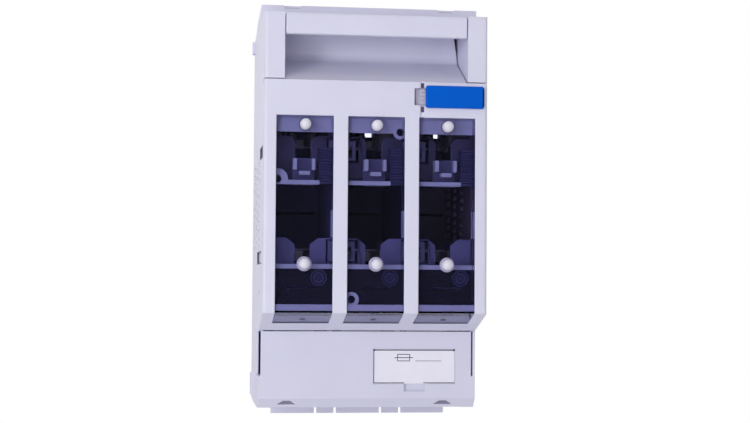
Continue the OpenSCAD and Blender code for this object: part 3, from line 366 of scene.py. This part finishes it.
def makeCardPrint(p):
    front = frontOf("label_card")
    mesh = bmesh.new()

    def mark(x0, x1, z0, z1):
        addBar(mesh, (x0, x1), (front - p["proud"], front + p["proud"]), (z0, z1))

    half, edge = p["boxHeight"] / 2, p["stroke"] / 2
    line = p["stroke"] / 3  # the line to write on is printed finer
    mark(p["signLeft"], p["signRight"], p["signZ"] - edge, p["signZ"] + edge)
    for z in (p["signZ"] - half, p["signZ"] + half):
        mark(p["boxLeft"], p["boxRight"], z - edge, z + edge)
    for x in (p["boxLeft"], p["boxRight"]):
        mark(x - edge, x + edge, p["signZ"] - half - edge, p["signZ"] + half + edge)
    mark(p["lineLeft"], p["lineRight"], p["lineZ"] - line, p["lineZ"] + line)
    finishPiece("card_print", mesh, "base", printInk)


makeCardPrint(cardPrint)

# The card slides in under a lip: a dark gap of painted shade along its top with a round relief at each end, and finer
# lines of painted shadow down its left side and along its foot, apart from the notch for a finger
cardSlotShade = {"left": 3.1, "right": 42.9, "top": -69.65, "foot": -85.6, "gap": 0.5, "fineGap": 0.28,
            "notchLeft": 18.1, "notchRight": 27.6, "proud": 0.06, "sunk": 0.02,
            "reliefRadius": 0.55, "reliefIn": 0.25, "reliefProud": 0.1}


def makeCardSlotShade(p):
    front = frontOf("label_card")
    back = front + p["sunk"]
    left, right, top, foot, fine = p["left"], p["right"], p["top"], p["foot"], p["fineGap"]
    mesh = bmesh.new()
    for x, z in (((left, right), (top - p["gap"] / 2, top + p["gap"] / 2)),
                 ((left, left + fine), (foot, top)),
                 ((left, p["notchLeft"]), (foot, foot + fine)),
                 ((p["notchRight"], right), (foot, foot + fine))):
        addBar(mesh, x, (front - p["proud"], back), z)
    reliefFront = front - p["reliefProud"]
    for x in (left + p["reliefIn"], right - p["reliefIn"]):
        addDisc(mesh, (x, (reliefFront + back) / 2, top), p["reliefRadius"], back - reliefFront, math.radians(90), 40)
    finishPiece("card_slot_gap_shade", mesh, "base", gapShadeMaterial)


makeCardSlotShade(cardSlotShade)

# Latches behind the two notches in the foot of the lower cover, coloured as painted shade over the notches' backs
footLatchShade = {"x": {"left": -39.1, "right": 37.3}, "half": 4.5, "y": (-56.1, -55.4), "z": (-96.0, -94.1)}
# The closed backs of the two notches in the upper rim, each with a line of painted shade along its foot
rimBack = {"x": {"left": -38.9, "right": 37.9}, "half": 4.7, "y": (-58.2, -57.4), "z": (95.8, 97.5),
           "lineHalf": 4.4, "lineY": (-58.35, -58.18), "lineZ": (95.9, 96.5)}


def makeFootLatchShade(side, p):
    x = p["x"][side]
    mesh = bmesh.new()
    addBar(mesh, (x - p["half"], x + p["half"]), p["y"], p["z"])
    finishPiece("foot_latch_shade_" + side, mesh, "base", housingShadePlastic)


def makeRimBack(side, p):
    x = p["x"][side]
    mesh = bmesh.new()
    addBar(mesh, (x - p["half"], x + p["half"]), p["y"], p["z"])
    finishPiece("rim_notch_back_" + side, mesh, "base", housingPlastic)
    mesh = bmesh.new()
    addBar(mesh, (x - p["lineHalf"], x + p["lineHalf"]), p["lineY"], p["lineZ"])
    finishPiece("rim_notch_shade_line_" + side, mesh, "base", gapShadeMaterial)


for side in ("left", "right"):
    makeFootLatchShade(side, footLatchShade)
for side in ("left", "right"):
    makeRimBack(side, rimBack)

# Painted shade on the floor of the guide groove above and below the slider
lockGuideShade = {"x": (21.05, 22.75), "y": (-87.35, -87.15), "rows": ((55.1, 57.4), (43.6, 46.3))}
# The end of the tab that faces away from the light, drawn in painted shade
tabEndShade = {"x": (50.3, 51.0), "z": (46.7, 55.1), "proud": 0.05, "sunk": 0.1}


def makeLockGuideShade(p):
    mesh = bmesh.new()
    for z in p["rows"]:
        addBar(mesh, p["x"], p["y"], z)
    finishPiece("lock_guide_groove_shade", mesh, "lid", gapShadeMaterial)


def makeTabEndShade(p):
    front = frontOf("lock_tab")
    mesh = bmesh.new()
    addBar(mesh, p["x"], (front - p["proud"], front + p["sunk"]), p["z"])
    finishPiece("lock_tab_end_shade", mesh, "lock", tabEndShadePlastic)


makeLockGuideShade(lockGuideShade)
makeTabEndShade(tabEndShade)

# The wedge-shaped gap at each end of the finger scoop, where the hood stands off the side cheek, drawn as a black
# wedge of painted shade
scoopGapShade = {"inner": 41.4, "outer": 42.75, "top": 84.1, "foot": 74.2, "front": -60.4, "depth": 1.0}


def makeScoopGapShade(side, p):
    sign = {"left": -1, "right": 1}[side]
    mesh = bmesh.new()
    corners = [mesh.verts.new((sign * x * mm, p["front"] * mm, z * mm))
               for x, z in ((p["inner"], p["top"]), (p["outer"], p["top"]), (p["outer"], p["foot"]))]
    face = mesh.faces.new(corners)
    grown = bmesh.ops.extrude_face_region(mesh, geom=[face])
    moved = [part for part in grown["geom"] if isinstance(part, bmesh.types.BMVert)]
    bmesh.ops.translate(mesh, vec=(0, p["depth"] * mm, 0), verts=moved)
    bmesh.ops.recalc_face_normals(mesh, faces=mesh.faces)
    finishPiece("scoop_gap_shade_" + side, mesh, "lid", blackShadePlastic)


for side in ("right", "left"):
    makeScoopGapShade(side, scoopGapShade)

# Dark rims of painted shade in the two pockets across the left seam, split where the lid parts from the base
pocketRimShade = {"seam": -70.0, "seamRoom": 0.25, "outer": -52.95, "edge": 0.45, "end": 1.6,
             "upper": {"y": (-80.4, -57.1), "z": (21.6, 27.4), "floor": -51.45},
             "lower": {"y": (-74.9, -41.1), "z": (-28.4, -22.4), "floor": -52.15}}


def makePocketRimShade(row, body, p):
    pocket = p[row]
    x, (y0, y1), (z0, z1) = (p["outer"], pocket["floor"]), pocket["y"], pocket["z"]
    if body == "lid":
        y1 = p["seam"] - p["seamRoom"]
        end = (y0, y0 + p["end"])
    else:
        y0 = p["seam"] + p["seamRoom"]
        end = (y1 - p["end"], y1)
    mesh = bmesh.new()
    addBar(mesh, x, (y0, y1), (z0, z0 + p["edge"]))
    addBar(mesh, x, (y0, y1), (z1 - p["edge"], z1))
    addBar(mesh, x, end, (z0, z1))
    finishPiece("side_pocket_shade_" + row + "_" + body, mesh, body, pocketShadePlastic)


for row in ("upper", "lower"):
    for body in ("lid", "base"):
        makePocketRimShade(row, body, pocketRimShade)

# The pin's mark on the bent foot of each window, a little under the pane's face
footMark = {"offX": {"left": 0.4, "middle": 0.3, "right": 0.3}, "z": -54.7, "radius": 1.35, "thick": 0.12,
            "kneeY": -88.0, "kneeZ": -51.4, "slope": 0.312, "sunk": 0.3}


def makeFootMark(side, p):
    tilt = math.atan(p["slope"])
    inward = Vector((0, math.sin(tilt), math.cos(tilt)))
    faceY = p["kneeY"] + (p["kneeZ"] - p["z"]) / p["slope"]
    place = Vector((poleX[side] + p["offX"][side], faceY, p["z"])) + inward * p["sunk"]
    mesh = bmesh.new()
    addDisc(mesh, place, p["radius"], p["thick"], -tilt, 32)
    finishPiece("window_foot_mark_" + side, mesh, "lid", markPlastic)


for side in poleX:
    makeFootMark(side, footMark)

# Round bush on each dark panel beside the lower plug: three rings, each (inner, outer, proud)
panelBush = {"offX": 7.1, "z": -34.75, "rings": ((3.3, 3.9, 0.45), (1.5, 2.7, 0.225), (0.45, 1.0, 0.45)), "sunk": 0.1}
# Black slit across the panel under its bush, drawn as a bar of painted shade
panelSlitShade = {"left": -6.6, "right": 6.9, "z": (-40.35, -39.75), "proud": 0.06}


def makePanelBush(side, p):
    face = frontOf("lower_panel_" + side)
    mesh = bmesh.new()
    for inner, outer, proud in p["rings"]:
        addRing(mesh, (poleX[side] + p["offX"], p["z"]), (inner, outer), (face - proud, face + p["sunk"]))
    bmesh.ops.recalc_face_normals(mesh, faces=mesh.faces)
    finishPiece("panel_bush_" + side, mesh, "lid", louvrePlastic)


def makePanelSlitShade(side, p):
    face = frontOf("lower_panel_" + side)
    mesh = bmesh.new()
    addBar(mesh, (poleX[side] + p["left"], poleX[side] + p["right"]), (face - p["proud"], face + p["proud"]), p["z"])
    finishPiece("panel_slit_shade_" + side, mesh, "lid", blackShadePlastic)


# A dark groove of painted shade in the pane round each upper dome, and the collar's face round each lower plug
plugRing = {"upperZ": 36.7, "upperRadii": (2.62, 2.98), "upperSunk": 0.3,
            "lowerZ": -28.4, "lowerRadii": (2.62, 3.36), "lowerSunk": 0.02, "collar": 0.7, "proud": 0.05}


def makePlugRings(side, p):
    face = frontOf("window_" + side)
    mesh = bmesh.new()
    addRing(mesh, (poleX[side], p["upperZ"]), p["upperRadii"], (face - p["proud"], face + p["upperSunk"]))
    bmesh.ops.recalc_face_normals(mesh, faces=mesh.faces)
    finishPiece("upper_plug_groove_shade_" + side, mesh, "lid", grooveShadePlastic)
    face -= p["collar"]
    mesh = bmesh.new()
    addRing(mesh, (poleX[side], p["lowerZ"]), p["lowerRadii"], (face - p["proud"], face + p["lowerSunk"]))
    bmesh.ops.recalc_face_normals(mesh, faces=mesh.faces)
    finishPiece("lower_plug_collar_" + side, mesh, "lid", collarPlastic)


# A black seam of painted shade in the groove across the floor of each tray
traySeamShade = {"half": 12.6, "y": (-4.8, -4.0), "z": (-2.0, -0.5)}


def makeTraySeamShade(side, p):
    mesh = bmesh.new()
    addBar(mesh, (poleX[side] - p["half"], poleX[side] + p["half"]), p["y"], p["z"])
    finishPiece("tray_seam_shade_" + side, mesh, "base", blackShadePlastic)


for side in poleX:
    makePanelBush(side, panelBush)
    makePanelSlitShade(side, panelSlitShade)
    makePlugRings(side, plugRing)
    makeTraySeamShade(side, traySeamShade)
print("small pieces made")

# The camera's place, turn and lens were fitted to the photograph; places are in metres, turns in degrees
cameraView = {"place": (-0.095187, -0.804371, -0.037378), "turn": (92.67354254, -0.40036681, -7.54014632),
              "lens": 74.087, "sensor": 36, "near": 0.01, "far": 50}
camera = bpy.data.objects.new("camera", bpy.data.cameras.new("camera"))
scene.collection.objects.link(camera)
camera.location = cameraView["place"]
camera.rotation_euler = [math.radians(a) for a in cameraView["turn"]]
camera.data.lens = cameraView["lens"]
camera.data.sensor_width = cameraView["sensor"]
camera.data.clip_start = cameraView["near"]
camera.data.clip_end = cameraView["far"]
scene.camera = camera

# Square softboxes that look at the origin; places and sizes in metres, power in watts
lampPlan = {
    "softboxLeft": {"place": (-0.78, -0.95, 0.14), "size": 0.36, "power": 4.0},
    "softboxFront": {"place": (-0.9, -1.7, 0.9), "size": 1.2, "power": 2.5},
    "softboxRight": {"place": (1.5, -1.5, 0.5), "size": 1.4, "power": 1.5},
    "softboxLow": {"place": (-0.55, -1.2, -0.5), "size": 0.7, "power": 7},
    "softboxTop": {"place": (0.0, -0.3, 1.9), "size": 1.6, "power": 6},
    "softboxBack": {"place": (0.3, 1.7, 0.9), "size": 1.6, "power": 9},
}
for lampName, plan in lampPlan.items():
    lamp = bpy.data.lights.new(lampName, "AREA")
    lamp.size = plan["size"]
    lamp.energy = plan["power"]
    holder = bpy.data.objects.new(lampName, lamp)
    scene.collection.objects.link(holder)
    holder.location = plan["place"]
    holder.visible_camera = False
    holder.rotation_euler = (-Vector(plan["place"])).to_track_quat("-Z", "Y").to_euler()

# White to the camera, in mirror images and through the panes, but only a soft fill on the object
studioWorld = {"white": "FFFFFF", "seen": 1.0, "fill": 0.45}


def makeWorld(p):
    world = bpy.data.worlds.new("paleStudio")
    scene.world = world
    world.use_nodes = True
    tree = world.node_tree
    tree.nodes.clear()
    ray = addNode(tree, "ShaderNodeLightPath").outputs
    direct = addNode(tree, "ShaderNodeMath", {"operation": "MAXIMUM"},
                     {0: ray["Is Camera Ray"], 1: ray["Is Glossy Ray"]})
    seen = addNode(tree, "ShaderNodeMath", {"operation": "MAXIMUM"},
                   {0: direct.outputs[0], 1: ray["Is Transmission Ray"]})
    fill = addNode(tree, "ShaderNodeBackground", {"Color": fromHex(p["white"]), "Strength": p["fill"]})
    white = addNode(tree, "ShaderNodeBackground", {"Color": fromHex(p["white"]), "Strength": p["seen"]})
    both = addNode(tree, "ShaderNodeMixShader", None, {0: seen.outputs[0], 1: fill.outputs[0], 2: white.outputs[0]})
    addNode(tree, "ShaderNodeOutputWorld", None, {0: both.outputs[0]})


makeWorld(studioWorld)

# White paper under the object, so far below that its shadow stays soft; the camera alone sees the glow
studioFloor = {"half": 1.2, "below": 350, "paper": "F4F4F6", "glow": "FFFFFF", "glowStrength": 0.45}


def makeFloor(p):
    mesh = bmesh.new()
    bmesh.ops.create_grid(mesh, x_segments=1, y_segments=1, size=p["half"])
    bmesh.ops.translate(mesh, vec=(0, 0, cadBox[0][2] - p["below"] * mm), verts=mesh.verts)
    data = bpy.data.meshes.new("studioFloor")
    mesh.to_mesh(data)
    mesh.free()
    floor = bpy.data.objects.new("studioFloor", data)
    scene.collection.objects.link(floor)
    material, tree, out, place = newMaterial("whitePaperFloor")
    paper = addNode(tree, "ShaderNodeBsdfDiffuse", {"Color": fromHex(p["paper"])})
    glow = addNode(tree, "ShaderNodeEmission", {"Color": fromHex(p["glow"]), "Strength": p["glowStrength"]})
    dark = addNode(tree, "ShaderNodeEmission", {"Color": (0, 0, 0, 1), "Strength": 0.0})
    ray = addNode(tree, "ShaderNodeLightPath").outputs
    lift = addNode(tree, "ShaderNodeMixShader", None,
                   {0: ray["Is Camera Ray"], 1: dark.outputs[0], 2: glow.outputs[0]})
    both = addNode(tree, "ShaderNodeAddShader", None, {0: paper.outputs[0], 1: lift.outputs[0]})
    tree.links.new(both.outputs[0], out.inputs[0])
    data.materials.append(material)
    return floor


floor = makeFloor(studioFloor)

scene.view_settings.view_transform = "Standard"
print("camera and lights set")
